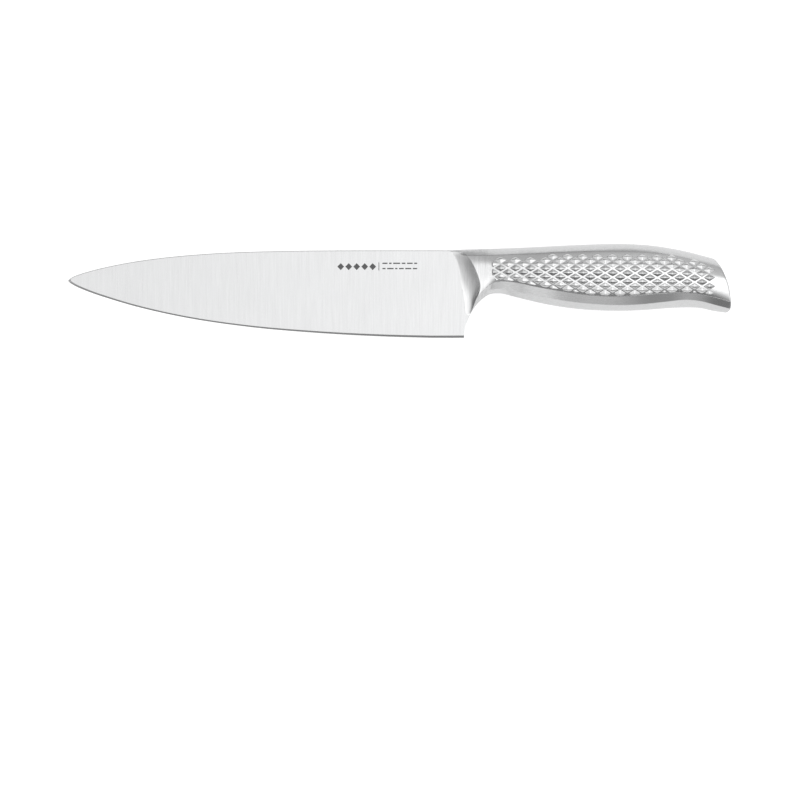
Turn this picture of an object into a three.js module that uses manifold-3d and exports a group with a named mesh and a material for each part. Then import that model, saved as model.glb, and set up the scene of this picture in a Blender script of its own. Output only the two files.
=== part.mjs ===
// An 8-inch chef knife with a hollow, welded stainless handle, lying on its right side.
//
// Units are millimetres, +Z up. The knife is drawn in a frame of its own: x runs from the tip to the
// butt with 0 at the heel, y runs up to the spine with 0 on the straight part of the spine, and z is
// measured from the blade's mid-plane, positive on the left side. The whole knife is then turned into
// the pose in which it rests on a table, with the origin below the middle of its bounding box.
import * as THREE from 'three';
import { mergeVertices } from 'three/addons/utils/BufferGeometryUtils.js';
import Module from 'manifold-3d';

const wasm = await Module();
wasm.setup();

const degrees = THREE.MathUtils.degToRad;

// ---- driving dimensions ---------------------------------------------------------------------------

// How it lies: on the widest part of the handle's right side and on the curve of the edge near the tip.
const REST_ROLL = degrees(7.606);
const REST_PITCH = degrees(-2.282);

// Blade
const BLADE_LENGTH = 203.2; // 8 inches, tip to heel corner
const SPINE_HALF = 1.15; // half thickness at the spine above the heel
const TAPER_DOWN = 0.0145; // half thickness lost per mm from spine to edge
const TAPER_FORWARD = 0.0024; // half thickness lost per mm from heel to tip
const BEVEL_SLOPE = Math.tan(degrees(22)); // sharpening bevel, each side
const EDGE_HALF = 0.02; // half thickness of the sharpened edge

// Tang: a stub that reaches through the bolster
const BLADE_REAR = 3; // rear face of the blade, above and below the tang
const TANG_END = 22;
const TANG_TOP = -3.6;
const TANG_BOTTOM = -17.6;
const TANG_CORNER = 2;
const TANG_STEP = 0.15; // the tang is ground this much thinner on each side than the blade
const TANG_STEP_X = 2.6; // the step lies this far behind the ramp's first line

// Handle
const GAP = 0.3; // clearance between neighbouring pieces
const WALL = 1.2; // thickness of the pressed shells
const SEAM_HALF = 0.9; // half width of the welds along the spine and the belly
const RING_WIDTH = 1.5; // width of the welds round the bolster and round the end cap
const RING_FRONT = 12; // front face of the bolster's ring weld
const SPIGOT_END = 18; // the bolster's spigot, which the shells slide over
const CAP_THICKNESS = 2.4; // end cap, along the handle
const UNDER_SLOPE = 1.2; // how fast the underside starts to turn in, mm across per mm down
const UNDER_LEAST = 0.5; // it turns in over at least this share of its half width

// Ramp from the blade's cheeks to the grip
const WELD_FRONT = 2.9; // the ground weld starts this far behind the ramp's first line
const WELD_BACK = 5.2; // and ends here, where the bolster's own metal begins
const RAMP_STEPS = 9; // facets along the hollow
const RAMP_OVERRUN = 12; // how far the ramp's surface is carried on past the ridge

// Raised pyramids on the grip
const PYRAMID_LENGTH = 7.6; // pitch along the handle
const PYRAMID_WIDTH = 4.32; // pitch round the handle
const PYRAMID_FOOT = 0.1; // the lattice's crossings stand this high above the plain surface
const PYRAMID_HEIGHT = 0.5; // from crossing to peak
const PYRAMID_ROOT = 0.8; // depth sunk in the shell
const LATTICE_X = 22.4; // a crossing of the flat strips
const LATTICE_Y = -9.3;
const LATTICE_DROP = 0.009; // the rows fall slightly towards the butt

// ---- profiles -------------------------------------------------------------------------------------

// A smooth curve through [position, value] pairs, held constant beyond its ends.
function profile(points) {
  const last = points.length - 1;
  const slope = points.map((_, i) => {
    const a = points[Math.max(i - 1, 0)];
    const b = points[Math.min(i + 1, last)];
    return (b[1] - a[1]) / (b[0] - a[0]);
  });
  return (position) => {
    const at = THREE.MathUtils.clamp(position, points[0][0], points[last][0]);
    let i = 0;
    while (i < last - 1 && at > points[i + 1][0]) i += 1;
    const span = points[i + 1][0] - points[i][0];
    const t = (at - points[i][0]) / span;
    const u = 1 - t;
    return points[i][1] * (1 + 2 * t) * u * u + slope[i] * span * t * u * u
      + points[i + 1][1] * t * t * (3 - 2 * t) - slope[i + 1] * span * t * t * u;
  };
}

// Blade: spine and edge along x, back of the heel along y.
const spineY = profile([[-BLADE_LENGTH, -15.5], [-201, -13.7], [-194, -11.2], [-182, -8.2], [-166, -5.3],
  [-146, -2.9], [-120, -1.1], [-90, -0.3], [-60, 0], [30, 0]]);
const edgeY = profile([[-BLADE_LENGTH, -15.5], [-202.4, -16.4], [-198, -18.9], [-187, -23.1], [-166, -29.3],
  [-140, -34.9], [-110, -39.2], [-80, -41.9], [-50, -43.7], [-20, -44.7], [0, -44.8]]);
const heelX = profile([[-44.8, 0], [-41, 0.3], [-38.2, 0.9], [-36.4, 1.7], [-34.6, 2.4], [-32.6, 3.2]]);

// Ramp and ridge, along y.
const rampX = profile([[-37, 1], [-28, 0.1], [-21, -0.9], [-14, -2], [-8.4, -3.1], [-3.8, -4.5],
  [-1.5, -6.4], [0.5, -8.6]]);
const rampPower = profile([[-31, 3], [-22, 2.6], [-17, 1.9], [-10, 1.65], [-4, 1.35]]);
const ridgeX = profile([[-32.2, 3.2], [-29.2, 4.7], [-25.4, 6.1], [-22.8, 7.4], [-20.3, 8.2], [-17.7, 8.3],
  [-14.9, 7.7], [-10, 5.9], [-5.9, 3.8], [-2.6, 1.5], [-1.2, 0]]);

// Handle sections, along x.
const crownY = profile([[-9, 0.15], [-4, 0.35], [0, 0.5], [20, 1.1], [38, 1.9], [56, 2.8], [70, 3.35],
  [80, 3.45], [90, 3.1], [100, 2.1], [112, 0], [124, -3], [138, -6.9]]);
const bellyY = profile([[0.9, -38], [1.7, -36.4], [3.2, -32.8], [5.6, -29], [8, -26.2], [11, -23.7],
  [13.5, -22.4], [16.4, -22], [20, -22.2], [27, -24], [40, -27.1], [52, -29.2], [65, -30.5], [80, -31],
  [93, -30.5], [106, -29.5], [115, -29.2], [121, -29.5], [128, -31], [138, -32.5]]);
const creaseY = profile([[0.9, -36.2], [3.2, -30], [6, -25.2], [8.4, -22], [11.8, -18.7], [15, -16.5],
  [20, -15.8], [27, -16.5], [38, -18.9], [50, -21], [62, -22.8], [75, -23.7], [85, -23.5], [100, -22.3],
  [111, -21.8], [120, -22.6], [129, -24.5], [138, -27.2]]);
const lowerY = profile([[0.9, -37.2], [3.2, -31.6], [6, -27.6], [9, -23.7], [12.4, -20.9], [16, -19.9],
  [22, -20.2], [30, -22], [40, -24], [50, -25.9], [62, -27.4], [78, -28.3], [90, -27.9], [103, -26.6],
  [113, -25.6], [121, -26.3], [130, -28.6], [138, -30.6]]);
const shoulderY = profile([[-9, -3], [10, -2.8], [30, -2.2], [50, -1.2], [75, -0.7], [100, -2], [115, -4.8],
  [138, -11]]);
const middleY = profile([[-9, -12.5], [12, -10], [25, -10], [45, -10.6], [75, -11.2], [100, -12],
  [120, -14.5], [138, -17]]);
const halfWidth = profile([[-9, 5], [4, 5.5], [12, 6.2], [20, 7.4], [30, 8.7], [45, 10.2], [75, 11.4],
  [100, 10.9], [120, 10.2], [138, 9.6]]);
// Half widths at the shoulder, at the crease and at the facet's lower edge, as shares of the full one.
const shoulderShare = profile([[-9, 0.72], [10, 0.74], [30, 0.68], [80, 0.64], [110, 0.68], [138, 0.72]]);
const creaseShare = profile([[0.9, 0.57], [6, 0.71], [12, 0.78], [20, 0.83], [30, 0.82], [40, 0.8],
  [60, 0.765], [80, 0.74], [110, 0.79], [138, 0.8]]);
const lowerShare = profile([[0.9, 0.3], [6, 0.35], [12, 0.37], [20, 0.31], [30, 0.31], [40, 0.34],
  [60, 0.41], [80, 0.44], [110, 0.53], [127, 0.56], [138, 0.58]]);
// Roundness of the handle's top, as a share of its half width at the shoulder.
const crownFullness = profile([[-9, 0.08], [12, 0.15], [30, 0.33], [45, 0.42]]);

// Butt's face, along y.
const buttX = profile([[-32.6, 133.4], [-32, 134.9], [-31, 135.9], [-29.6, 136.4], [-27, 136.4],
  [-23, 135.8], [-18.4, 134.9], [-14, 133.5], [-9.5, 131.8], [-5.9, 129.7], [-3, 127.4], [6, 119]]);

// ---- handle section -------------------------------------------------------------------------------

const steps = (from, to, count) => (
  Array.from({ length: count + 1 }, (_, i) => from + ((to - from) * i) / count)
);

// The left half of the section at x, from crown to belly, as [y, z] pairs: rounded crown, full side,
// flat facet under the crease, rounded underside. `fine` multiplies the number of points.
function halfSection(x, fine = 1) {
  const wide = halfWidth(x);
  const [top, shoulder, middle] = [crownY(x), shoulderY(x), middleY(x)];
  const [crease, lower, belly] = [Math.min(creaseY(x), middle - 1), lowerY(x), bellyY(x)];
  const shoulderZ = wide * shoulderShare(x);
  const creaseZ = wide * creaseShare(x);
  const lowerZ = wide * lowerShare(x);
  const bend = (y0, z0, y1, z1, y2, z2) => (t) => [
    y0 * (1 - t) ** 2 + 2 * y1 * t * (1 - t) + y2 * t * t,
    z0 * (1 - t) ** 2 + 2 * z1 * t * (1 - t) + z2 * t * t,
  ];
  const crown = bend(top, 0, top, shoulderZ * crownFullness(x), shoulder, shoulderZ);
  const turn = Math.max(lowerZ - UNDER_SLOPE * (lower - belly), UNDER_LEAST * lowerZ);
  const under = bend(lower, lowerZ, belly, turn, belly, 0);
  return [
    ...steps(0, 1, 4 * fine).slice(0, -1).map(crown),
    ...steps(-1, 0, 3 * fine).slice(0, -1)
      .map((t) => [middle - t * (shoulder - middle), wide - (wide - shoulderZ) * t * t]),
    ...steps(0, 1, 3 * fine).slice(0, -1)
      .map((t) => [middle + t * (crease - middle), wide - (wide - creaseZ) * t * t]),
    [crease, creaseZ],
    ...steps(0, 1, 4 * fine).map(under),
  ];
}

// Half width of the handle's side at (x, y).
function sideZ(x, y) {
  const half = halfSection(x, 4);
  const below = half.findIndex((p) => p[0] <= y);
  if (below <= 0) return 0;
  const [a, b] = [half[below - 1], half[below]];
  return a[1] + ((b[1] - a[1]) * (y - a[0])) / (b[0] - a[0]);
}

// ---- meshes ---------------------------------------------------------------------------------------

const point = (x, y, z) => new THREE.Vector3(x, y, z);

function signedVolume(positions, indices) {
  const corner = (i) => new THREE.Vector3().fromArray(positions, 3 * i);
  let volume = 0;
  for (let i = 0; i < indices.length; i += 3) {
    volume += corner(indices[i]).dot(corner(indices[i + 1]).cross(corner(indices[i + 2]))) / 6;
  }
  return volume;
}

// A closed mesh with its faces pointing out.
function solidGeometry(positions, indices) {
  const geometry = new THREE.BufferGeometry();
  geometry.setAttribute('position', new THREE.Float32BufferAttribute(positions, 3));
  geometry.setIndex(signedVolume(positions, indices) < 0 ? [...indices].reverse() : indices);
  geometry.computeVertexNormals();
  return geometry;
}

// Skins a row of closed rings of equal length and closes each end with a fan about its middle.
function skin(rings) {
  const count = rings[0].length;
  const positions = rings.flat().flatMap((p) => p.toArray());
  const indices = [];
  const at = (i, k) => i * count + (k % count);
  for (let i = 0; i < rings.length - 1; i += 1) {
    for (let k = 0; k < count; k += 1) {
      indices.push(at(i, k), at(i + 1, k), at(i + 1, k + 1));
      indices.push(at(i, k), at(i + 1, k + 1), at(i, k + 1));
    }
  }
  for (const i of [0, rings.length - 1]) {
    const middle = rings[i].reduce((sum, p) => sum.add(p), point(0, 0, 0)).divideScalar(count);
    const hub = positions.push(...middle.toArray()) / 3 - 1;
    for (let k = 0; k < count; k += 1) {
      indices.push(hub, ...(i === 0 ? [at(i, k), at(i, k + 1)] : [at(i, k + 1), at(i, k)]));
    }
  }
  return solidGeometry(positions, indices);
}

function toManifold(geometry) {
  const bare = geometry.clone();
  bare.deleteAttribute('normal');
  bare.deleteAttribute('uv');
  const merged = mergeVertices(bare, 1e-4);
  return new wasm.Manifold(new wasm.Mesh({
    numProp: 3,
    vertProperties: merged.attributes.position.array,
    triVerts: new Uint32Array(merged.index.array),
  }));
}

function fromManifold(solid) {
  const mesh = solid.getMesh();
  return solidGeometry([...mesh.vertProperties], [...mesh.triVerts]);
}

// Everything between two x limits (functions of y) and two z limits.
function slab(frontX, rearX, lowZ = -30, highZ = 30) {
  const rings = steps(-48, 8, 40).map((y) => [
    point(frontX(y), y, lowZ),
    point(rearX(y), y, lowZ),
    point(rearX(y), y, highZ),
    point(frontX(y), y, highZ),
  ]);
  return toManifold(skin(rings));
}

// ---- blade ----------------------------------------------------------------------------------------

// Each cheek is one true plane, thinner towards the edge and towards the tip.
const cheekZ = (x, y) => SPINE_HALF + TAPER_DOWN * y + TAPER_FORWARD * x;

function counterClockwise(outline) {
  return THREE.ShapeUtils.triangulateShape(outline, []).map(([a, b, c]) => {
    const [p, q, r] = [outline[a], outline[b], outline[c]];
    const turn = (q.x - p.x) * (r.y - p.y) - (q.y - p.y) * (r.x - p.x);
    return turn > 0 ? [a, b, c] : [a, c, b];
  });
}

const flat = (x, y) => point(x, y, 0);
const run = (start, count) => Array.from({ length: count }, (_, i) => start + i);

// Joins two runs of points of equal length with a strip.
function band(indices, p, q) {
  for (let i = 0; i < p.length - 1; i += 1) indices.push(p[i], q[i], q[i + 1], p[i], q[i + 1], p[i + 1]);
}

// A plate with the blade's taper, from a counter-clockwise outline. `grow` thickens it on both sides.
function plate(outline, grow) {
  const size = outline.length;
  const lift = (side) => outline.map((p) => point(p.x, p.y, side * (cheekZ(p.x, p.y) + grow)));
  const indices = [];
  for (const [a, b, c] of counterClockwise(outline)) indices.push(a, b, c, size + a, size + c, size + b);
  const loop = [...run(0, size), 0];
  band(indices, loop, loop.map((i) => i + size));
  return toManifold(solidGeometry([...lift(1), ...lift(-1)].flatMap((p) => p.toArray()), indices));
}

function bladeGeometry() {
  const spine = [BLADE_REAR, -30, -60, ...steps(-75, -BLADE_LENGTH + 1.4, 14)]
    .map((x) => flat(x, spineY(x)));
  const edge = [-BLADE_LENGTH, -202.5, -200.5, -197.5, ...steps(-193, -113, 10), ...steps(-100, 0, 8)]
    .map((x) => flat(x, edgeY(x)));
  // The bevel's shoulder lies inside the edge, further in where the blade is thicker.
  const shoulder = edge.map((p, i) => {
    const along = edge[Math.min(i + 1, edge.length - 1)].clone().sub(edge[Math.max(i - 1, 0)]).normalize();
    const depth = cheekZ(p.x, p.y) / (BEVEL_SLOPE + TAPER_DOWN);
    return flat(p.x - along.y * depth, p.y + along.x * depth);
  });
  shoulder[0] = flat(-BLADE_LENGTH + 1.6, -15.1);
  shoulder[1] = flat(-BLADE_LENGTH + 2, -15.6);
  shoulder[edge.length - 1].x = heelX(shoulder[edge.length - 1].y);
  const rear = [
    ...[-41, -38.2, -36.4, -34.6].map((y) => flat(heelX(y), y)),
    flat(BLADE_REAR, -33.2),
    flat(BLADE_REAR, TANG_BOTTOM - TANG_CORNER),
    flat(BLADE_REAR + TANG_CORNER, TANG_BOTTOM),
    flat(TANG_END - TANG_CORNER, TANG_BOTTOM),
    flat(TANG_END, TANG_BOTTOM + TANG_CORNER),
    flat(TANG_END, TANG_TOP - TANG_CORNER),
    flat(TANG_END - TANG_CORNER, TANG_TOP),
    flat(BLADE_REAR, TANG_TOP),
  ];
  const cheek = [...spine, ...shoulder, ...rear];
  const size = cheek.length;
  const lift = (side) => cheek.map((p) => point(p.x, p.y, side * cheekZ(p.x, p.y)));
  const rim = (side) => edge.map((p) => point(p.x, p.y, side * EDGE_HALF));
  const positions = [...lift(1), ...lift(-1), ...rim(1), ...rim(-1)].flatMap((p) => p.toArray());
  const indices = [];
  for (const [a, b, c] of counterClockwise(cheek)) indices.push(a, b, c, size + a, size + c, size + b);
  const left = run(spine.length, shoulder.length);
  const right = left.map((i) => i + size);
  const edgeLeft = run(2 * size, edge.length);
  const edgeRight = run(2 * size + edge.length, edge.length);
  const back = [...run(left.at(-1) + 1, rear.length), 0];
  band(indices, run(0, spine.length), run(size, spine.length));
  band(indices, left, edgeLeft);
  band(indices, edgeLeft, edgeRight);
  band(indices, edgeRight, right);
  band(indices, back, back.map((i) => i + size));
  // Close the point and the heel corner, where the bevels run out.
  const fan = (loop) => {
    for (let i = 1; i < loop.length - 1; i += 1) indices.push(loop[0], loop[i], loop[i + 1]);
  };
  fan([spine.length - 1, spine.length - 1 + size, right[0], edgeRight[0], edgeLeft[0], left[0]]);
  fan([left.at(-1), edgeLeft.at(-1), edgeRight.at(-1), right.at(-1), back[0] + size, back[0]]);
  return solidGeometry(positions, indices);
}

// ---- handle ---------------------------------------------------------------------------------------

// The handle's outer body, or the same body shrunk by `inset` all round.
function handleBody(xs, inset = 0) {
  return toManifold(skin(xs.map((x) => {
    const half = halfSection(x);
    const last = half.length - 1;
    const shrunk = half.map((p, i) => {
      let [dy, dz] = [0, i === 0 ? 1 : -1];
      if (i > 0 && i < last) [dy, dz] = [half[i + 1][0] - half[i - 1][0], half[i + 1][1] - half[i - 1][1]];
      const long = Math.hypot(dy, dz);
      return [p[0] - (inset * dz) / long, Math.max(0, p[1] + (inset * dy) / long)];
    });
    // Where the two sides meet above the last point, or below the first, the outline stays there.
    const first = shrunk.findIndex((p) => p[1] > 0) - 1;
    const end = shrunk.findLastIndex((p) => p[1] > 0) + 1;
    const outline = shrunk.map((_, i) => shrunk[THREE.MathUtils.clamp(i, first, end)]);
    const left = outline.map(([y, z]) => point(x, y, z));
    const right = outline.slice(1, -1).reverse().map(([y, z]) => point(x, y, -z));
    return [...left, ...right];
  })));
}

// Everything inside the two hollow-ground ramps, which rise from the blade's cheeks to the ridge. The
// height along a ramp is a power of the distance: nearly straight high up, a steep lip low down.
function rampBody() {
  const rings = steps(-37.5, 1.5, 26).map((y) => {
    const at = THREE.MathUtils.clamp(y, -31, -1.6);
    const long = ridgeX(at) - rampX(at);
    const high = sideZ(ridgeX(at), at) - cheekZ(rampX(at), at);
    const power = rampPower(at);
    const hollow = steps(0, 1, RAMP_STEPS).map((share) => [long * share, high * share ** power]);
    const beyond = [long + RAMP_OVERRUN, high + (RAMP_OVERRUN * power * high) / long];
    const left = [...hollow, beyond].map(([dx, dz]) => point(rampX(y) + dx, y, cheekZ(rampX(y), y) + dz));
    left.push(point(60, y, left.at(-1).z));
    return [...left, ...left.map((p) => point(p.x, p.y, -p.z)).reverse()];
  });
  return toManifold(skin(rings));
}

// Outline of the field of raised pyramids, seen from the side.
const FIELD = [
  [14.2, -7], [14.6, -13.4], [16.5, -15.4], [20, -15.2], [27, -16], [38, -18.3], [50, -20.4], [62, -22.2],
  [75, -23.1], [85, -22.9], [100, -21.7], [111, -21.2], [120, -21.9], [125.7, -21.6], [128.8, -19.8],
  [129.6, -17.7], [127.8, -11.3], [124.2, -6.9], [121, -5.4], [113.4, -3.6], [106, -2.3], [98, -1.5],
  [90, -1], [70, -0.9], [43, -1.8], [23.6, -2.8], [17.4, -4], [15, -5],
].map(([x, y]) => flat(x, y));

// A point on the left side: `row` rows down the surface from the lattice's first row, raised off the
// handle's own surface by `raise`.
function gripPoint(x, row, raise) {
  const along = (row * PYRAMID_WIDTH) / 2;
  const slope = (y) => (sideZ(x, y + 0.05) - sideZ(x, y - 0.05)) / 0.1;
  let y = LATTICE_Y - LATTICE_DROP * (x - LATTICE_X);
  const count = Math.ceil(Math.abs(along) / 0.5);
  for (let i = 0; i < count; i += 1) {
    y -= along / count / Math.hypot(1, slope(y));
    y = THREE.MathUtils.clamp(y, bellyY(x) + 0.3 * (9 - row), crownY(x) - 0.3 * (7 + row));
  }
  const alongHandle = (sideZ(x + 0.5, y) - sideZ(x - 0.5, y)) / 1;
  const normal = point(-alongHandle, -slope(y), 1).normalize();
  return point(x, y, sideZ(x, y)).addScaledVector(normal, raise);
}

// The raised pyramids of the left side as one sheet, sunk in the shell and cut at the field's outline.
// Crossings of the lattice alternate with peaks, both along the handle and down it.
function pyramids() {
  const [firstRow, lastRow, firstColumn, lastColumn] = [-5, 7, -3, 29];
  const rows = lastRow - firstRow + 1;
  const columns = lastColumn - firstColumn + 1;
  const top = [];
  const root = [];
  for (let i = firstColumn; i <= lastColumn; i += 1) {
    const x = LATTICE_X + (i * PYRAMID_LENGTH) / 2;
    for (let j = firstRow; j <= lastRow; j += 1) {
      const isPeak = Math.abs(i + j) % 2 === 1;
      top.push(gripPoint(x, j, PYRAMID_FOOT + (isPeak ? PYRAMID_HEIGHT : 0)));
      root.push(gripPoint(x, j, -PYRAMID_ROOT));
    }
  }
  const size = top.length;
  const indices = [];
  for (let i = 0; i < columns - 1; i += 1) {
    for (let j = 0; j < rows - 1; j += 1) {
      const [a, b, c, d] = [i * rows + j, (i + 1) * rows + j, (i + 1) * rows + j + 1, i * rows + j + 1];
      const isPeak = Math.abs(i + firstColumn + j + firstRow) % 2 === 1;
      for (const [p, q, r] of isPeak ? [[a, b, d], [b, c, d]] : [[a, b, c], [a, c, d]]) {
        indices.push(p, q, r, p + size, r + size, q + size);
      }
    }
  }
  const border = [
    ...run(0, columns - 1).map((i) => i * rows),
    ...run(0, rows - 1).map((j) => (columns - 1) * rows + j),
    ...run(0, columns - 1).map((i) => (columns - i) * rows - 1),
    ...run(0, rows - 1).map((j) => rows - 1 - j),
  ];
  const loop = [...border, border[0]];
  band(indices, loop, loop.map((i) => i + size));
  return toManifold(solidGeometry([...top, ...root].flatMap((p) => p.toArray()), indices))
    .intersect(plate(FIELD, 30));
}

const at = (x) => () => x;
const mirrored = (solid) => solid.mirror([0, 0, 1]);
const box = (x0, x1, y0, y1, z0, z1) => toManifold(
  new THREE.BoxGeometry(x1 - x0, y1 - y0, z1 - z0).translate((x0 + x1) / 2, (y0 + y1) / 2, (z0 + z1) / 2),
);

// ---- pieces ---------------------------------------------------------------------------------------

const body = handleBody([...steps(-9, 21, 24), ...steps(25.5, 138, 25)]);
const ramps = rampBody();
const slot = plate([
  flat(-30, 6), flat(-30, -50), flat(BLADE_REAR + GAP, -50),
  flat(BLADE_REAR + GAP, TANG_BOTTOM - TANG_CORNER - GAP),
  flat(BLADE_REAR + TANG_CORNER + GAP, TANG_BOTTOM - GAP),
  flat(TANG_END + GAP, TANG_BOTTOM - GAP), flat(TANG_END + GAP, TANG_TOP + GAP),
  flat(BLADE_REAR + GAP, TANG_TOP + GAP), flat(BLADE_REAR + GAP, 6),
], GAP);

// The blade at its full thickness, with the thinner tang behind it.
function blade() {
  const whole = toManifold(bladeGeometry());
  const front = whole.intersect(slab(at(-300), (y) => rampX(y) + TANG_STEP_X));
  const thinned = plate([flat(-30, 6), flat(-30, -50), flat(40, -50), flat(40, 6)], -TANG_STEP);
  return front.add(whole.intersect(thinned));
}

const RING_REAR = RING_FRONT + RING_WIDTH;
const capFront = (y) => buttX(y) - CAP_THICKNESS;
const capWeldRear = (y) => capFront(y) - GAP;
const capWeldFront = (y) => capWeldRear(y) - RING_WIDTH;
const shellRear = (y) => capWeldFront(y) - GAP;

const wall = body.subtract(handleBody([...steps(6, 21, 8), ...steps(27, 138, 18)], WALL));

function bolster() {
  const spigot = handleBody([...steps(6, 20, 7)], WALL + GAP)
    .intersect(box(RING_FRONT - 3, SPIGOT_END, -40, 10, -20, 20));
  const front = body.intersect(ramps)
    .intersect(slab((y) => rampX(y) + WELD_BACK + GAP, at(RING_FRONT - GAP)));
  return front.add(spigot).subtract(slot);
}

const bladeWeld = body.intersect(ramps)
  .intersect(slab((y) => rampX(y) + WELD_FRONT, (y) => rampX(y) + WELD_BACK, 0))
  .subtract(slot);
const shellSheet = wall.intersect(slab(at(RING_REAR + GAP), shellRear, SEAM_HALF + GAP));
const seams = wall.intersect(slab(at(RING_REAR + GAP), shellRear, -SEAM_HALF, SEAM_HALF));
const shell = shellSheet.add(pyramids());

// ---- materials ------------------------------------------------------------------------------------

const steel = (color, roughness) => new THREE.MeshStandardMaterial({ color, metalness: 1, roughness });
const bladeSteel = steel(0xd9dbdd, 0.32);
const bolsterSteel = steel(0xc4c6c8, 0.34);
const gripSteel = steel(0xbfc1c3, 0.36);
const weldSteel = steel(0xb9bbbd, 0.4);

// ---- assembly -------------------------------------------------------------------------------------

const knife = new THREE.Group();
function addPiece(name, geometry, material) {
  const mesh = new THREE.Mesh(geometry, material);
  mesh.name = name;
  knife.add(mesh);
}

addPiece('blade', fromManifold(blade()), bladeSteel);
addPiece('bolster', fromManifold(bolster()), bolsterSteel);
addPiece('blade_weld_left', fromManifold(bladeWeld), weldSteel);
addPiece('blade_weld_right', fromManifold(mirrored(bladeWeld)), weldSteel);
addPiece('bolster_ring_weld', fromManifold(wall.intersect(slab(at(RING_FRONT), at(RING_REAR)))), weldSteel);
addPiece('handle_shell_left', fromManifold(shell), gripSteel);
addPiece('handle_shell_right', fromManifold(mirrored(shell)), gripSteel);
addPiece('spine_seam_weld', fromManifold(seams.intersect(box(0, 150, -11, 20, -5, 5))), weldSteel);
addPiece('belly_seam_weld', fromManifold(seams.intersect(box(0, 150, -50, -11, -5, 5))), weldSteel);
addPiece('end_cap_ring_weld', fromManifold(wall.intersect(slab(capWeldFront, capWeldRear))), weldSteel);
addPiece('end_cap', fromManifold(body.intersect(slab(capFront, buttX))), gripSteel);

const part = new THREE.Group();
part.name = 'chef_knife';
part.add(knife);
knife.rotation.set(REST_ROLL, REST_PITCH, 0, 'YXZ');
part.updateMatrixWorld(true);
const bounds = new THREE.Box3().setFromObject(knife, true);
knife.position.set(-(bounds.min.x + bounds.max.x) / 2, -(bounds.min.y + bounds.max.y) / 2, -bounds.min.z);

export default part;
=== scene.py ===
"""Chef knife with a hollow welded stainless handle: its visible surfaces, finish, light and camera.

The shapes are worked out in the knife's own frame, in millimetres: x from tip to butt with 0 at the heel,
y up to the spine, z across the blade from its mid-plane, positive on the left side. place() then lays
them on the table in the frame's resting pose, in metres.
"""
import math

import bpy
import numpy as np
from mathutils import Euler, Matrix, Vector


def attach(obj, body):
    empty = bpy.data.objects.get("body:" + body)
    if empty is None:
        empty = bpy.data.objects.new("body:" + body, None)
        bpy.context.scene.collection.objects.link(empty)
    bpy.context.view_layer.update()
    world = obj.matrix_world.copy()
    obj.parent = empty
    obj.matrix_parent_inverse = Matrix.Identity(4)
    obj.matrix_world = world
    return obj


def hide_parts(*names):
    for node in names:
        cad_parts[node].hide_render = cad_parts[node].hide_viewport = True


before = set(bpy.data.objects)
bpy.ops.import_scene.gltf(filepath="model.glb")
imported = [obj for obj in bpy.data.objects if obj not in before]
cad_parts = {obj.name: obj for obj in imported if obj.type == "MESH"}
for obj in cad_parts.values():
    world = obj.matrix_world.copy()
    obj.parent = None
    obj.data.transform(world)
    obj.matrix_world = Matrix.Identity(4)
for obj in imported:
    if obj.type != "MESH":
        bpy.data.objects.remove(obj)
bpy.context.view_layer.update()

# ---- dimensions, mm ---------------------------------------------------------------------------------
REST_ROLL = math.radians(7.606)
REST_PITCH = math.radians(-2.282)
REST_OFFSET = Vector((33.091, 20.492, 10.758))
REST = Euler((0, REST_PITCH, 0)).to_matrix() @ Euler((REST_ROLL, 0, 0)).to_matrix()
REST_NP = np.array(REST)

BLADE_LENGTH = 203.2
SPINE_HALF = 1.15
TAPER_DOWN = 0.0145
TAPER_FORWARD = 0.0024
BEVEL_SLOPE = math.tan(math.radians(22))
EDGE_HALF = 0.02
SPINE_EASE = 0.35  # rounding of the spine's corners
SPINE_START = 0.4  # distance from the tip to where the spine's flat top begins
BEVEL_START = 1.5  # the same for the cheek's lower edge
HEEL_TOP = -32.8  # y where the heel's rear edge ends and the ramp begins
HEEL_FACE_TOP = -32.5  # y up to which the heel's rear face shows
CHEEK_LAP = 0.4  # how far the cheek runs on under the ramp
CHEEK_END = 3.0
HEEL_BEND = 14  # the higher, the later the cheek's sections bend to the rear outline

UNDER_SLOPE = 1.2  # how fast the underside starts to turn in, mm across per mm down
RIDGE_FRONT = -8.4  # where the ridge reaches the crown
RIDGE_FOOT = 1.75  # where it reaches the belly
RAMP_LOW, RAMP_HIGH = -31.5, -1.4
RING_FRONT = 12.0  # joint between bolster and shells
BUTT_FRONT = 100.0  # the butt's outline is looked for between here
HANDLE_END = 138.0  # and here
BUTT_ROUND = 0.9  # rounding of the butt's rim
BUTT_DOME = 0.25

PYRAMID_LENGTH = 7.6
PYRAMID_WIDTH = 4.32
PYRAMID_LAND = 0.8
PYRAMID_SLOPE = 0.46
PYRAMID_SIDE = 0.8  # how much steeper a pyramid's side gets towards its foot
PYRAMID_FOOT = 0.04  # rounding where a pyramid meets the land
PYRAMID_TIP = 0.2  # radius of its worn tip
EDGE_POWER = 12  # sharpness of its four edges
SIDE_POWER = 10  # the higher, the nearer to the foot its side steepens
FIELD_FADE = 0.3  # width over which the relief ends at the field's outline
LATTICE_FRONT = 10.0  # where the table of distances down the surface begins
LATTICE_X, LATTICE_Y, LATTICE_DROP = 22.4, -9.3, 0.009


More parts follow.
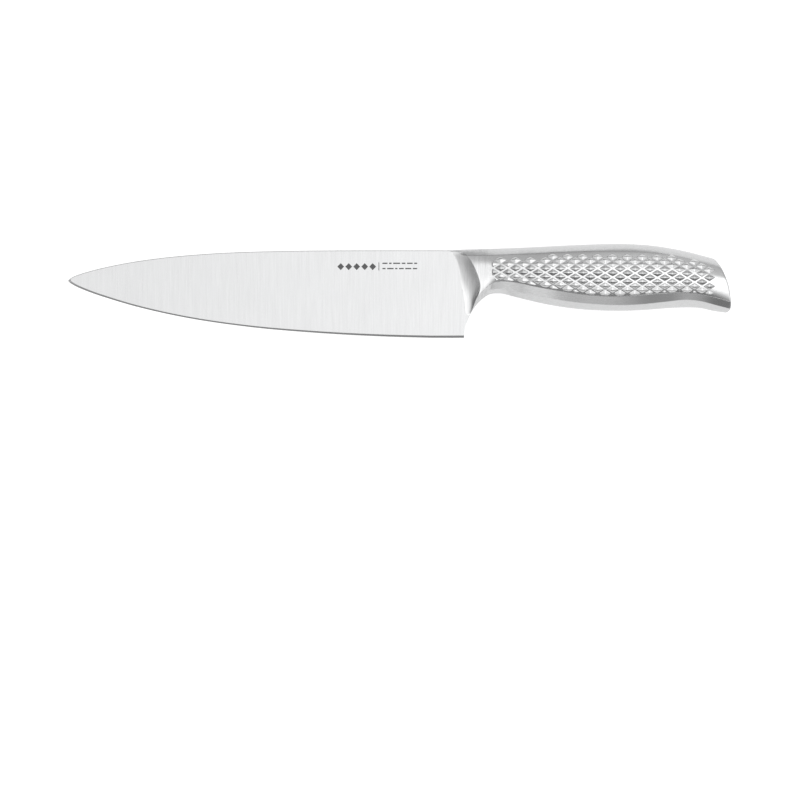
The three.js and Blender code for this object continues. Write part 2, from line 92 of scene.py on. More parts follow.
# ---- profiles ---------------------------------------------------------------------------------------
def profile(points):
    """A smooth function through (position, value) pairs, constant beyond its ends."""
    at, value = np.array(points, float).T
    last = len(at) - 1
    before, after = np.maximum(np.arange(last + 1) - 1, 0), np.minimum(np.arange(last + 1) + 1, last)
    slope = (value[after] - value[before]) / (at[after] - at[before])

    def evaluate(position):
        x = np.clip(position, at[0], at[-1])
        i = np.clip(np.searchsorted(at, x, side="right") - 1, 0, last - 1)
        span = at[i + 1] - at[i]
        t = (x - at[i]) / span
        u = 1 - t
        return (value[i] * (1 + 2 * t) * u * u + slope[i] * span * t * u * u
                + value[i + 1] * t * t * (3 - 2 * t) - slope[i + 1] * span * t * t * u)
    return evaluate


spine_y = profile([(-BLADE_LENGTH, -15.5), (-201, -13.7), (-194, -11.2), (-182, -8.2), (-166, -5.3),
                   (-146, -2.9), (-120, -1.1), (-90, -0.3), (-60, 0), (30, 0)])
edge_y = profile([(-BLADE_LENGTH, -15.5), (-202.4, -16.4), (-198, -18.9), (-187, -23.1), (-166, -29.3),
                  (-140, -34.9), (-110, -39.2), (-80, -41.9), (-50, -43.7), (-20, -44.7), (0, -44.8)])
heel_x = profile([(-44.8, 0), (-41, 0.3), (-38.2, 0.9), (-36.4, 1.7), (-34.6, 2.4), (-32.6, 3.2)])
ramp_x = profile([(-37, 1), (-28, 0.1), (-21, -0.9), (-14, -2), (-8.4, -3.1), (-3.8, -4.5), (-1.5, -6.4),
                  (0.5, -8.6)])
ridge_x = profile([(-32.2, 3.2), (-29.2, 4.7), (-25.4, 6.1), (-22.8, 7.4), (-20.3, 8.2), (-17.7, 8.3),
                   (-14.9, 7.7), (-10, 5.9), (-5.9, 3.8), (-2.6, 1.5), (-1.2, 0)])
crown_y = profile([(-9, 0), (-4, 0.32), (0, 0.5), (20, 1.1), (38, 1.9), (56, 2.8), (70, 3.35), (80, 3.45),
                   (90, 3.1), (100, 2.1), (112, 0), (124, -3), (138, -6.9)])
belly_y = profile([(0.9, -38), (1.7, -36.4), (3.2, -32.8), (5.6, -29), (8, -26.2), (11, -23.7), (13.5, -22.4),
                   (16.4, -22), (20, -22.2), (27, -24), (40, -27.1), (52, -29.2), (65, -30.5), (80, -31),
                   (93, -30.5), (106, -29.5), (115, -29.2), (121, -29.5), (128, -31), (138, -32.5)])
crease_y = profile([(0.9, -36.2), (3.2, -30), (6, -25.2), (8.4, -22), (11.8, -18.7), (15, -16.5), (20, -15.8),
                    (27, -16.5), (38, -18.9), (50, -21), (62, -22.8), (75, -23.7), (85, -23.5), (100, -22.3),
                    (111, -21.8), (120, -22.6), (129, -24.5), (138, -27.2)])
lower_y = profile([(0.9, -37.2), (3.2, -31.6), (6, -27.6), (9, -23.7), (12.4, -20.9), (16, -19.9), (22, -20.2),
                   (30, -22), (40, -24), (50, -25.9), (62, -27.4), (78, -28.3), (90, -27.9), (103, -26.6),
                   (113, -25.6), (121, -26.3), (130, -28.6), (138, -30.6)])
shoulder_y = profile([(-9, -3), (10, -2.8), (30, -2.2), (50, -1.2), (75, -0.7), (100, -2), (115, -4.8),
                      (138, -11)])
middle_y = profile([(-9, -12.5), (12, -10), (25, -10), (45, -10.6), (75, -11.2), (100, -12), (120, -14.5),
                    (138, -17)])
half_width = profile([(-9, 5), (4, 5.5), (12, 6.2), (20, 7.4), (30, 8.7), (45, 10.2), (75, 11.4), (100, 10.9),
                      (120, 10.2), (138, 9.6)])
# Half widths at the shoulder, at the crease and at the facet's lower edge, as shares of the full one.
shoulder_share = profile([(-9, 0.72), (10, 0.74), (30, 0.68), (80, 0.64), (110, 0.68), (138, 0.72)])
crease_share = profile([(0.9, 0.57), (6, 0.71), (12, 0.78), (20, 0.83), (30, 0.82), (40, 0.8), (60, 0.765),
                        (80, 0.74), (110, 0.79), (138, 0.8)])
lower_share = profile([(0.9, 0.3), (6, 0.35), (12, 0.37), (20, 0.31), (30, 0.31), (40, 0.34), (60, 0.41),
                       (80, 0.44), (110, 0.53), (127, 0.56), (138, 0.58)])
# Roundness of the handle's top, as a share of its half width at the shoulder.
crown_fullness = profile([(-9, 0.08), (12, 0.15), (30, 0.33), (45, 0.42)])
ramp_power = profile([(-31, 6), (-26, 5), (-22, 3), (-17, 1.9), (-10, 1.65), (-4, 1.35)])
butt_x = profile([(-32.6, 133.4), (-32, 134.9), (-31, 135.9), (-29.6, 136.4), (-27, 136.4), (-23, 135.8),
                  (-18.4, 134.9), (-14, 133.5), (-9.5, 131.8), (-5.9, 129.7), (-3, 127.4), (6, 119)])
CELLS = 60  # more than the lattice has, each way
# The grip's relief is cut off at this outline, seen from the side,
FIELD = np.array([(14.2, -4), (14.6, -13.4), (16.5, -15.4), (20, -15.2), (27, -16), (38, -18.3), (50, -20.4),
                  (62, -22.2), (75, -23.1), (85, -22.9), (100, -21.7), (111, -21.2), (120, -21.9), (126, -22.6),
                  (133, -20), (133, -8), (120, -2), (112, 0), (98, 2), (80, 2.5), (50, 1), (16, 0)])
# and along the top and at the rear it ends in whole pyramids, those with their middle in this outline.
MIDDLES = np.array([(8, -5.2), (8, -24), (127, -24), (127, -18), (125.4, -10), (121, -7), (113, -4.8),
                    (104, -3.2), (92, -2.3), (70, -2.1), (43, -3.1), (24, -4.2)])


def cheek_z(x, y):
    return SPINE_HALF + TAPER_DOWN * y + TAPER_FORWARD * x


# ---- handle section ---------------------------------------------------------------------------------
# Rows of the left half of the section, from crown to belly: (part, fraction along that part).
UPPER_ROWS = ([(0, t) for t in np.linspace(0, 1, 19)[:-1]] + [(1, t) for t in np.linspace(0, 1, 45)[:-1]]
              + [(2, t) for t in np.linspace(0, 1, 51)])
LOWER_ROWS = [(3, t) for t in np.linspace(0, 1, 15)[:-1]] + [(4, t) for t in np.linspace(0, 1, 17)]


def section(x, rows):
    """y and z of the handle's left side at x, an array with one column per row."""
    wide, fullness = half_width(x), crown_fullness(x)
    top, shoulder, middle = crown_y(x), shoulder_y(x), middle_y(x)
    crease, lower, belly = np.minimum(crease_y(x), middle - 1), lower_y(x), belly_y(x)
    shoulder_z, crease_z, lower_z = wide * shoulder_share(x), wide * crease_share(x), wide * lower_share(x)
    y, z = np.empty_like(x), np.empty_like(x)
    part = np.array([r[0] for r in rows])
    frac = np.broadcast_to(np.array([r[1] for r in rows]), x.shape)
    for p in range(5):
        c = part == p
        t = frac[:, c]
        u = 1 - t
        k = (slice(None), c)
        if p == 0:
            y[k] = top[k] * (u * u + 2 * t * u) + shoulder[k] * t * t
            z[k] = shoulder_z[k] * (2 * fullness[k] * t * u + t * t)
        elif p == 1:
            y[k] = shoulder[k] + t * (middle[k] - shoulder[k])
            z[k] = wide[k] - (wide[k] - shoulder_z[k]) * u * u
        elif p == 2:
            y[k] = middle[k] + t * (crease[k] - middle[k])
            z[k] = wide[k] - (wide[k] - crease_z[k]) * t * t
        elif p == 3:
            y[k] = crease[k] + t * (lower[k] - crease[k])
            z[k] = crease_z[k] + t * (lower_z[k] - crease_z[k])
        else:
            y[k] = lower[k] * u * u + belly[k] * (2 * t * u + t * t)
            turn = np.maximum(lower_z[k] - UNDER_SLOPE * (lower[k] - belly[k]), 0)
            z[k] = lower_z[k] * u * u + 2 * turn * t * u
    return y, z


def side_z(x, y):
    """Half width of the handle at single points of its side."""
    rows = UPPER_ROWS + LOWER_ROWS
    ys, zs = section(np.repeat(np.atleast_1d(x)[:, None], len(rows), 1), rows)
    return np.array([np.interp(-b, -a, c) for a, b, c in zip(ys, np.atleast_1d(y), zs)])


RAMP_ROWS = np.linspace(RAMP_LOW, RAMP_HIGH, 60)
RAMP_LENGTH = ridge_x(RAMP_ROWS) - ramp_x(RAMP_ROWS)
RAMP_RISE = side_z(ridge_x(RAMP_ROWS), RAMP_ROWS) - cheek_z(ramp_x(RAMP_ROWS), RAMP_ROWS)


def ramp_z(x, y):
    """Height of the hollow-ground ramp; the hollow is rounder high up and ends in a steep lip low down."""
    share = np.maximum((x - ramp_x(y)) / np.interp(y, RAMP_ROWS, RAMP_LENGTH), 0)
    return cheek_z(ramp_x(y), y) + np.interp(y, RAMP_ROWS, RAMP_RISE) * share ** ramp_power(y)


def solve(rows, low, high, test):
    """For each row, the x between low and high where test(x, y, z) changes from False to True."""
    a, b = np.array(low, float), np.array(high, float)
    for _ in range(40):
        x = (a + b) / 2
        y, z = section(x[None, :], rows)
        beyond = test(x, y[0], z[0])
        a, b = np.where(beyond, a, x), np.where(beyond, x, b)
    return (a + b) / 2


# ---- meshes -----------------------------------------------------------------------------------------
def place(points):
    return (points @ REST_NP.T + np.array(REST_OFFSET)) / 1000


def unit(v):
    length = np.linalg.norm(v, axis=-1, keepdims=True)
    return np.divide(v, length, out=np.zeros_like(v), where=length > 1e-12)


def grid_normals(p, outward):
    """Smooth normals of a grid of points, turned to the side of `outward`."""
    n = unit(np.cross(np.gradient(p, axis=0), np.gradient(p, axis=1)))
    sign = np.sign((n * outward).sum())
    n *= sign if sign else 1
    dead = np.linalg.norm(n, axis=-1) < 0.5
    if dead.any():
        n[dead] = unit(np.broadcast_to(outward, n.shape)[dead])
    return n


class Skin:
    """Collects grids of points with their normals and makes one mesh of them."""

    def __init__(self):
        self.points, self.normals, self.faces, self.count = [], [], [], 0

    def add(self, p, n, mirror=False):
        if mirror:
            p, n = p * (1, 1, -1), n * (1, 1, -1)
        rows, columns = p.shape[:2]
        index = np.arange(rows * columns).reshape(rows, columns) + self.count
        quads = np.stack([index[:-1, :-1], index[1:, :-1], index[1:, 1:], index[:-1, 1:]], -1)
        across = np.cross(p[1:, :-1] - p[:-1, :-1], p[:-1, 1:] - p[:-1, :-1])
        if (across * n[:-1, :-1]).sum() < 0:
            quads = quads[..., ::-1]
        self.points.append(p.reshape(-1, 3))
        self.normals.append(n.reshape(-1, 3))
        self.faces.append(quads.reshape(-1, 4))
        self.count += rows * columns

    def build(self, name, slot, replaced, *materials):
        points, normals = place(np.concatenate(self.points)), np.concatenate(self.normals) @ REST_NP.T
        faces = np.concatenate(self.faces)
        mesh = bpy.data.meshes.new(name)
        mesh.from_pydata(points.tolist(), [], faces.tolist())
        for material in materials:
            mesh.materials.append(material)
        mesh.shade_smooth()
        mesh.normals_split_custom_set_from_vertices(normals.tolist())
        piece = bpy.data.objects.new(name, mesh)
        bpy.context.scene.collection.objects.link(piece)
        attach(piece, "root")
        if replaced:
            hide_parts(*replaced)
        return piece


# ---- handle -----------------------------------------------------------------------------------------
def polygon_depth(x, y, polygon):
    """Distance to the polygon's outline, positive inside."""
    inside = np.zeros(x.shape, bool)
    nearest = np.full(x.shape, 1e9)
    for (ax, ay), (bx, by) in zip(polygon, np.roll(polygon, -1, 0)):
        crosses = ((ay > y) != (by > y)) & (x < (bx - ax) * (y - ay) / (by - ay + 1e-12) + ax)
        inside ^= crosses
        t = np.clip(((x - ax) * (bx - ax) + (y - ay) * (by - ay)) / ((bx - ax) ** 2 + (by - ay) ** 2), 0, 1)
        nearest = np.minimum(nearest, np.hypot(x - ax - t * (bx - ax), y - ay - t * (by - ay)))
    return np.where(inside, nearest, -nearest)


def lattice(x, down):
    """Coordinates along the lattice's two sets of strips; each whole step is one pyramid."""
    a, b = (x - LATTICE_X) / PYRAMID_LENGTH, down / PYRAMID_WIDTH
    return a + b, a - b


def whole_pyramids(table_x, table_y, down):
    """Flags, by lattice cell, of the pyramids whose middle is inside the field."""
    flags = np.zeros((CELLS, CELLS), bool)
    for i in range(CELLS):
        for j in range(CELLS):
            u, v = i - CELLS // 2 + 0.5, j - CELLS // 2 + 0.5
            x, at = LATTICE_X + (u + v) / 2 * PYRAMID_LENGTH, (u - v) / 2 * PYRAMID_WIDTH
            station = np.searchsorted(table_x, x)
            if 0 < station < len(table_x):
                y = np.interp(at, down[station], table_y[station])
                flags[i, j] = polygon_depth(np.array(x), np.array(y), MIDDLES) > 0
    return flags


def pyramid_height(x, y, down, flags):
    """Height of the grip's relief; `down` is the distance down the surface from the lattice's first row."""
    u, v = lattice(x, down)
    p, q = np.abs(u % 1 - 0.5), np.abs(v % 1 - 0.5)
    to_edge = 1 / math.hypot(2 / PYRAMID_LENGTH, 2 / PYRAMID_WIDTH)
    reach = to_edge - PYRAMID_LAND / 2
    # A slightly rounded maximum, so that the four edges are worn smooth.
    from_tip = (p ** EDGE_POWER + q ** EDGE_POWER) ** (1 / EDGE_POWER) * 2 * to_edge
    rise = PYRAMID_SLOPE * (reach - np.hypot(from_tip, PYRAMID_TIP))
    rise += PYRAMID_SIDE * reach / SIDE_POWER * (1 - (from_tip / reach) ** SIDE_POWER)
    blended = np.maximum(rise + PYRAMID_FOOT, 0) ** 2 / (4 * PYRAMID_FOOT)
    height = np.where(rise > PYRAMID_FOOT, rise, blended)
    cell = [np.clip(np.floor(w).astype(int) + CELLS // 2, 0, CELLS - 1) for w in (u, v)]
    inside = np.clip(polygon_depth(x, y, FIELD) / FIELD_FADE + 0.5, 0, 1)
    return height * flags[cell[0], cell[1]] * inside


def lattice_table():
    """Distance down the surface from the lattice's first row, on a regular table of sections."""
    x = np.linspace(LATTICE_FRONT, HANDLE_END, 260)
    y, z = section(np.repeat(x[:, None], len(UPPER_ROWS), 1), UPPER_ROWS)
    steps = np.hypot(np.diff(y, axis=1), np.diff(z, axis=1))
    down = np.concatenate([np.zeros((len(x), 1)), np.cumsum(steps, 1)], 1)
    first = LATTICE_Y - LATTICE_DROP * (x - LATTICE_X)
    start = np.array([np.interp(-f, -ty, d) for f, ty, d in zip(first, y, down)])
    return x, y, down - start[:, None]


def handle_grid(rows):
    """The left side from ridge to butt, its ridge and butt outlines, and the station of the bolster's joint."""
    n = len(rows)
    part, share = np.array(rows).T
    lowest = np.where(part < 2, RIDGE_FRONT, RIDGE_FOOT)
    lowest = np.where(part == 2, np.interp(share, (0, 1), (RIDGE_FRONT, RIDGE_FOOT)), lowest)
    ridge = solve(rows, lowest, np.full(n, RING_FRONT), lambda x, y, z: z < ramp_z(x, y))
    sharp = solve(rows, np.full(n, BUTT_FRONT), np.full(n, HANDLE_END), lambda x, y, z: x > butt_x(y))
    rear = sharp - BUTT_ROUND
    # Stations crowd towards the ridge.
    front = ridge + (RING_FRONT - ridge) * (np.linspace(0, 1, 34)[:-1, None] ** 1.3)
    behind = RING_FRONT + (rear - RING_FRONT) * np.linspace(0, 1, 620)[:, None]
    x = np.concatenate([front, behind])
    y, z = section(x, rows)
    return np.stack([x, y, z], -1), ridge, sharp, len(front)


def butt_stations(rows, last, sharp):
    """The rounded rim and the butt's own face, as more stations behind the grid's last one."""
    y, z = section(sharp[None, :], rows)
    outline = np.stack([y[0], z[0]], -1)
    tangent = unit(np.gradient(outline, axis=0))
    inward = np.stack([tangent[:, 1], -tangent[:, 0]], -1)
    if inward[len(rows) // 2][1] > 0:
        inward = -inward
    inner = outline + BUTT_ROUND * inward
    inner[:, 1] = np.maximum(inner[:, 1], 0)
    # The inset outline keeps running downwards, so that the cap doesn't fold over at the crease.
    inner[:, 0] = np.minimum.accumulate(inner[:, 0]) - 0.001 * np.arange(len(rows))
    corner = np.stack([sharp, y[0], z[0]], -1)
    face = np.stack([butt_x(inner[:, 0]), inner[:, 0], inner[:, 1]], -1)
    rim = [last * (1 - t) ** 2 + 2 * corner * t * (1 - t) + face * t * t for t in np.linspace(0, 1, 9)[1:]]
    cap = []
    for t in np.linspace(0, 1, 12)[1:]:
        domed_x = butt_x(face[:, 1]) + BUTT_DOME * (1 - (1 - t) ** 2)
        cap.append(np.stack([domed_x, face[:, 1], face[:, 2] * (1 - t)], -1))
    return np.concatenate([np.array(rim), np.array(cap)])


def add_ramps(bolster, rows, ridge):
    """The hollow-ground ramps, row by row from their first line to the ridge."""
    upper = len(UPPER_ROWS)
    shown = ridge > np.where(np.arange(len(rows)) < upper, RIDGE_FRONT + 0.1, RIDGE_FOOT + 0.05)
    # The crease is in the rows twice, once for each side of it; one is enough here.
    shown[upper] = False
    ridge_y = section(ridge[None, :], rows)[0][0][shown]
    start = ramp_x(ridge_y)
    share = np.linspace(0, 1, 48)[:, None]
    x = start + (ridge[shown] - start) * share
    y = np.repeat(ridge_y[None, :], len(share), 0)
    ramp = np.stack([x, y, ramp_z(x, y)], -1)
    ramp_n = grid_normals(ramp, np.array([-0.5, 0, 1.0]))
    # The ramp's low end is closed down to the mid-plane.
    wall = np.stack([ramp[:, -1], ramp[:, -1] * (1, 1, 0)], 1)
    wall_n = np.broadcast_to(np.array([0, -1.0, 0]), wall.shape)
    for mirror in (False, True):
        bolster.add(ramp, ramp_n, mirror)
        bolster.add(wall, wall_n, mirror)


def build_handle():
    rows, upper = UPPER_ROWS + LOWER_ROWS, len(UPPER_ROWS)
    side, ridge, sharp, joint = handle_grid(rows)
    table_x, table_y, down = lattice_table()
    flags = whole_pyramids(table_x, table_y, down)
    body = len(side)
    whole = np.concatenate([side, butt_stations(rows, side[-1], sharp)])
    skins = {name: Skin() for name in ("bolster", "shell_left", "shell_right", "cap")}
    above, below = whole[:, :upper].copy(), whole[:, upper - 1:].copy()
    for grid, outward in ((above, np.array([0, 0.05, 1.0])), (below, np.array([0, -0.6, 1.0]))):
        n = grid_normals(grid, outward)
        if grid is above:
            x, y = side[:, :upper, 0], side[:, :upper, 1]
            down_here = np.stack([np.interp(x[:, j], table_x, down[:, j]) for j in range(upper)], 1)
            grid[:body] += n[:body] * pyramid_height(x, y, down_here, flags)[..., None]
            n = grid_normals(grid, outward)
        # Along the mid-plane the normals of the two sides agree.
        n[:, grid[body // 2, :, 2] < 1e-6] *= (1, 1, 0)
        n = unit(n)
        for mirror in (False, True):
            skins["bolster"].add(grid[:joint + 1], n[:joint + 1], mirror)
            skins["shell_right" if mirror else "shell_left"].add(grid[joint:body], n[joint:body], mirror)
        # The cap is one sheet from the left rim to the right one.
        half, half_n = grid[body - 1:], n[body - 1:]
        half_n[-1] = unit(half_n[-1] * (1, 1, 0))
        skins["cap"].add(np.concatenate([half, half[-2::-1] * (1, 1, -1)]),
                         np.concatenate([half_n, half_n[-2::-1] * (1, 1, -1)]))
    add_ramps(skins["bolster"], rows, ridge)
    return skins


# ---- blade ------------------------------------------------------------------------------------------
def build_blade():
    skin = Skin()
    # Stations from tip to heel, closer together near the tip.
    u = np.concatenate([np.linspace(0, 0.06, 30)[:-1], np.linspace(0.06, 1, 150)])
    ex = -BLADE_LENGTH + BLADE_LENGTH * u
    edge = np.stack([ex, edge_y(ex)], -1)
    along = unit(np.gradient(edge, axis=0))
    depth = cheek_z(edge[:, 0], edge[:, 1]) / (BEVEL_SLOPE + TAPER_DOWN)
    shoulder = edge + depth[:, None] * np.stack([-along[:, 1], along[:, 0]], -1)
    shoulder[:, 0] = np.maximum(shoulder[:, 0], -BLADE_LENGTH + BEVEL_START)
    shoulder[-1, 0] = heel_x(shoulder[-1, 1])
    top_x = np.maximum(ex, -BLADE_LENGTH + SPINE_START)
    top = np.stack([top_x, spine_y(top_x) - SPINE_EASE], -1)
    top[0] = top[1]
    # Cheek: rows from spine to shoulder; its rear end follows the ramp's first line and the heel.
    w = np.linspace(0, 1, 60)[None, :, None]
    cheek = top[:, None] * (1 - w) + shoulder[:, None] * w
    end_y = cheek[-1, :, 1]
    end_x = np.where(end_y < HEEL_TOP, heel_x(end_y), np.minimum(ramp_x(end_y) + CHEEK_LAP, CHEEK_END))
    stretch = (u ** HEEL_BEND)[:, None]
    cheek[..., 0] += stretch * (end_x - cheek[-1, :, 0])[None, :]
    flat_n = unit(np.array([-TAPER_FORWARD, -TAPER_DOWN, 1.0]))
    g = np.concatenate([cheek, cheek_z(cheek[..., :1], cheek[..., 1:])], -1)
    bevel = np.stack([np.concatenate([edge, np.full((len(u), 1), EDGE_HALF)], -1), g[:, -1]], 1)
    bevel_n = grid_normals(bevel, np.array([0, -0.3, 1.0]))
    # Spine: eased corner, then the flat top.
    spine = []
    high = g[:, 0]
    for a in np.linspace(0, math.pi / 2, 6):
        spine.append(high + np.array([0, SPINE_EASE * math.sin(a), -SPINE_EASE * (1 - math.cos(a))]))
    spine.append(spine[-1] * (1, 1, 0))
    spine = np.stack(spine, 1)
    spine[..., 2] = np.maximum(spine[..., 2], 0)
    spine_n = grid_normals(spine, np.array([0, 1.0, 0.3]))
    back = g[-1, :]
    back = np.concatenate([back[back[:, 1] < HEEL_FACE_TOP], bevel[-1:, 0]])
    back = np.stack([back, back * (1, 1, 0)], 1)
    back_n = np.broadcast_to(unit(np.array([1.0, -0.2, 0])), back.shape)
    for mirror in (False, True):
        skin.add(g, np.broadcast_to(flat_n, g.shape), mirror)
        skin.add(bevel, bevel_n, mirror)
        skin.add(spine, spine_n, mirror)
        skin.add(back, back_n, mirror)
    rim = np.stack([bevel[:, 0], bevel[:, 0] * (1, 1, -1)], 1)
    skin.add(rim, np.broadcast_to(np.array([0, -1.0, 0]), rim.shape))
    return skin


# ---- etched ornament --------------------------------------------------------------------------------
MARK_LIFT = 0.012  # above the cheek
LOZENGE_FIRST, LOZENGE_Y, LOZENGE_PITCH = -63.2, -8.3, 4.1
LOZENGE_HALF_LENGTH, LOZENGE_HALF_HEIGHT = 1.75, 1.8
BAR_X, BAR_WIDTH, BAR_LOW, BAR_HIGH = -43.8, 0.35, -10.3, -6.1
DASH_START, DASH_HALF_HEIGHT, DASH_GAP = -41.8, 0.33, 0.8
DASH_ROWS = ((-6.6, (2.6, 1.3, 3.6, 1.9, 2.9, 1.5)), (-9.3, (1.6, 3.3, 1.2, 2.4, 3.1, 2.2)))


def build_mark():
    """A plain ornament where such knives are etched: lozenges, a bar and two rows of dashes."""
    skin = Skin()

    def quad(corners):
        c = np.array(corners, float)
        z = cheek_z(c[:, 0], c[:, 1]) + MARK_LIFT
        p = np.concatenate([c, z[:, None]], -1)[[0, 1, 3, 2]].reshape(2, 2, 3)
        skin.add(p, np.broadcast_to(np.array([0, 0, 1.0]), p.shape))

    def upright(x, low, length, high):
        quad([(x, low), (x + length, low), (x + length, high), (x, high)])

    for k in range(5):
        x, y = LOZENGE_FIRST + k * LOZENGE_PITCH, LOZENGE_Y
        w, h = LOZENGE_HALF_LENGTH, LOZENGE_HALF_HEIGHT
        quad([(x - w, y), (x, y - h), (x + w, y), (x, y + h)])
    upright(BAR_X, BAR_LOW, BAR_WIDTH, BAR_HIGH)
    for y, lengths in DASH_ROWS:
        x = DASH_START
        for length in lengths:
            upright(x, y - DASH_HALF_HEIGHT, length, y + DASH_HALF_HEIGHT)
            x += length + DASH_GAP
    return skin


# ---- materials --------------------------------------------------------------------------------------
def new_node(nodes, kind, **inputs):
    """A shader node with the named inputs set; an underscore in a name stands for a space."""
    node = nodes.new(kind)
    for name, value in inputs.items():
        node.inputs[name.replace("_", " ")].default_value = value
    return node


def in_knife_axes(nodes, links, coordinates):
    """Texture coordinates turned into the knife's own axes."""
    where = nodes.new("ShaderNodeTexCoord")
    turn = new_node(nodes, "ShaderNodeMapping", Rotation=REST.inverted().to_euler())
    links.new(where.outputs[coordinates], turn.inputs["Vector"])
    return turn.outputs["Vector"]


def ranged(nodes, links, source, low, high, to_low, to_high):
    """`source` mapped from low..high to to_low..to_high."""
    span = new_node(nodes, "ShaderNodeMapRange", From_Min=low, From_Max=high, To_Min=to_low, To_Max=to_high)
    links.new(source, span.inputs["Value"])
    return span.outputs["Result"]


def steel(name, color, roughness, stretch, grain, mottle=0.04):
    """Satin stainless steel. `stretch` scales the grain along the knife's x, y and z."""
    m = bpy.data.materials.new(name)
    m.use_nodes = True
    nodes, links = m.node_tree.nodes, m.node_tree.links
    shader = nodes["Principled BSDF"]
    shader.inputs["Metallic"].default_value = 1.0
    here = in_knife_axes(nodes, links, "Object")
    lines = new_node(nodes, "ShaderNodeMapping", Scale=stretch)
    links.new(here, lines.inputs["Vector"])
    fine = new_node(nodes, "ShaderNodeTexNoise", Scale=1.0, Detail=4.0, Roughness=0.62)
    links.new(lines.outputs["Vector"], fine.inputs["Vector"])
    broad = new_node(nodes, "ShaderNodeTexNoise", Scale=60.0, Detail=3.0)
    links.new(here, broad.inputs["Vector"])
    # Colour: fine grain times broad mottling.
    both = nodes.new("ShaderNodeMath")
    both.operation = "MULTIPLY"
    links.new(ranged(nodes, links, fine.outputs["Fac"], 0.3, 0.7, 1 - grain, 1.0), both.inputs[0])
    links.new(ranged(nodes, links, broad.outputs["Fac"], 0.3, 0.7, 1 - mottle, 1.0), both.inputs[1])
    tint = nodes.new("ShaderNodeMix")
    tint.data_type, tint.blend_type = "RGBA", "MIX"
    tint.inputs["A"].default_value = (0, 0, 0, 1)
    tint.inputs["B"].default_value = (*color, 1)
    links.new(both.outputs["Value"], tint.inputs["Factor"])
    links.new(tint.outputs["Result"], shader.inputs["Base Color"])
    rough = ranged(nodes, links, fine.outputs["Fac"], 0.25, 0.75, roughness + 0.05, roughness - 0.04)
    links.new(rough, shader.inputs["Roughness"])
    bump = new_node(nodes, "ShaderNodeBump", Strength=0.25, Distance=0.00002)
    links.new(fine.outputs["Fac"], bump.inputs["Height"])
    links.new(bump.outputs["Normal"], shader.inputs["Normal"])
    return m


def lit_table():
    """A matt white table that is also lit from below, so that shadows stay faint."""
    m = bpy.data.materials.new("table_white")
    m.use_nodes = True
    shader = m.node_tree.nodes["Principled BSDF"]
    shader.inputs["Base Color"].default_value = (0.5, 0.5, 0.5, 1)
    shader.inputs["Roughness"].default_value = 0.9
    shader.inputs["Emission Color"].default_value = (1, 1, 1, 1)
    shader.inputs["Emission Strength"].default_value = 0.7
    return m


blade_steel = steel("blade_satin", (0.455, 0.457, 0.46), 0.24, (1500, 40, 1500), 0.05, 0.02)
ramp_steel = steel("bolster_satin", (0.56, 0.562, 0.565), 0.24, (900, 60, 300), 0.16)
grip_steel = steel("grip_satin", (0.56, 0.562, 0.565), 0.2, (500, 1200, 1200), 0.06)
etched = steel("etched_grey", (0.1, 0.1, 0.102), 0.5, (900, 900, 900), 0.1)

skins = build_handle()
skins["bolster"].build("bolster_ground", "bolster_steel",
                       ("bolster", "blade_weld_left", "blade_weld_right", "bolster_ring_weld"), ramp_steel)
skins["shell_left"].build("grip_left", "grip_steel", ("handle_shell_left", "spine_seam_weld"), grip_steel)
skins["shell_right"].build("grip_right", "grip_steel", ("handle_shell_right", "belly_seam_weld"), grip_steel)
skins["cap"].build("butt_cap", "grip_steel", ("end_cap", "end_cap_ring_weld"), grip_steel)
build_blade().build("blade_ground", "blade_steel", ("blade",), blade_steel)
build_mark().build("etched_ornament", "blade_steel", (), etched)

# ---- floor, light and camera ------------------------------------------------------------------------
FLOOR_HALF = 3.0  # m
SKY_SPAN = math.radians(100)
SKY_STRENGTH = 2.3
MM_PER_WIDTH = 410.5  # what the camera's view is across
CAMERA_AIM = (-32.8, -76.7)  # x and y of the middle of the view
CAMERA_DISTANCE = 1600.0
SENSOR = 36.0


def lay_floor():
    mesh = bpy.data.meshes.new("floor")
    corners = [(-1, -1), (1, -1), (1, 1), (-1, 1)]
    mesh.from_pydata([(x * FLOOR_HALF, y * FLOOR_HALF, 0) for x, y in corners], [], [(0, 1, 2, 3)])
    mesh.materials.append(lit_table())
    floor = bpy.data.objects.new("floor", mesh)
    bpy.context.scene.collection.objects.link(floor)


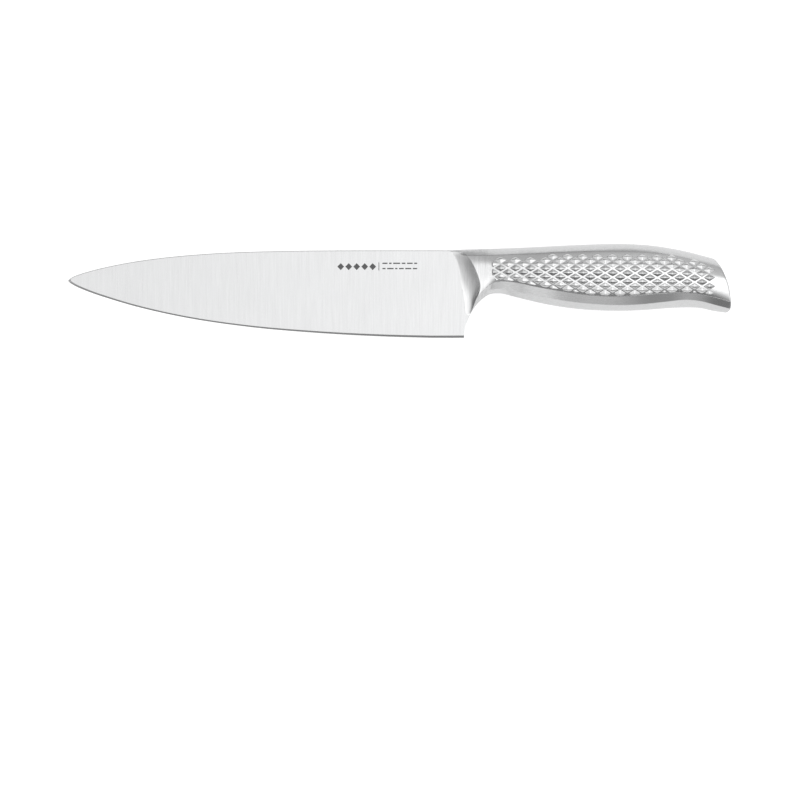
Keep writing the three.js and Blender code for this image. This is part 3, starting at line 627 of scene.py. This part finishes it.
def angle_ramp(nodes, links, sideways, stops):
    """A grey ramp over the angle from straight overhead, given as (degrees, value) pairs."""
    angle = nodes.new("ShaderNodeMath")
    angle.operation = "ARCSINE"
    links.new(sideways, angle.inputs[0])
    tones = nodes.new("ShaderNodeValToRGB")
    tones.color_ramp.elements.remove(tones.color_ramp.elements[1])
    for i, (degrees, value) in enumerate(stops):
        at = 0.5 + math.radians(degrees) / SKY_SPAN / 2
        element = tones.color_ramp.elements[0] if i == 0 else tones.color_ramp.elements.new(at)
        element.position, element.color = at, (value, value, value, 1)
    links.new(ranged(nodes, links, angle.outputs["Value"], -SKY_SPAN, SKY_SPAN, 0, 1), tones.inputs["Fac"])
    return tones.outputs["Color"]


def studio_light():
    """A broad bright panel overhead, set square to the knife, in a dimmer room."""
    world = bpy.data.worlds.new("studio")
    world.use_nodes = True
    nodes, links = world.node_tree.nodes, world.node_tree.links
    split = nodes.new("ShaderNodeSeparateXYZ")
    links.new(in_knife_axes(nodes, links, "Generated"), split.inputs["Vector"])
    along = angle_ramp(nodes, links, split.outputs["X"],
                       [(-90, 0.13), (-75, 0.17), (-69, 0.2), (-57, 0.34), (-45, 0.44), (-29, 0.51),
                        (-20, 0.63), (-11, 0.75), (-6, 0.77), (0, 0.84), (4, 1), (15, 1), (26, 0.68),
                        (45, 0.5), (70, 0.38), (90, 0.3)])
    across = angle_ramp(nodes, links, split.outputs["Y"],
                        [(-90, 0.5), (-84, 0.5), (-74, 0.38), (-66, 0.26), (-61, 0.15), (-48, 0.1),
                         (-42, 0.2), (-34, 0.48), (-25, 1), (21, 1), (27, 0.6), (36, 0.45), (56, 0.42),
                         (70, 0.4), (80, 0.24), (90, 0.22)])
    both = nodes.new("ShaderNodeMix")
    both.data_type, both.blend_type = "RGBA", "MULTIPLY"
    both.inputs["Factor"].default_value = 1.0
    links.new(along, both.inputs["A"])
    links.new(across, both.inputs["B"])
    links.new(both.outputs["Result"], nodes["Background"].inputs["Color"])
    nodes["Background"].inputs["Strength"].default_value = SKY_STRENGTH
    bpy.context.scene.world = world


def set_camera():
    """The camera looks straight at the knife's left side."""
    scene = bpy.context.scene
    data = bpy.data.cameras.new("camera")
    data.sensor_width = SENSOR
    data.lens = SENSOR * CAMERA_DISTANCE / MM_PER_WIDTH
    data.clip_end = 20
    camera = bpy.data.objects.new("camera", data)
    at = REST @ Vector((*CAMERA_AIM, CAMERA_DISTANCE)) + REST_OFFSET
    camera.matrix_world = Matrix.Translation(at / 1000) @ REST.to_4x4()
    scene.collection.objects.link(camera)
    scene.camera = camera
    scene.view_settings.view_transform = "Standard"


lay_floor()
studio_light()
set_camera()
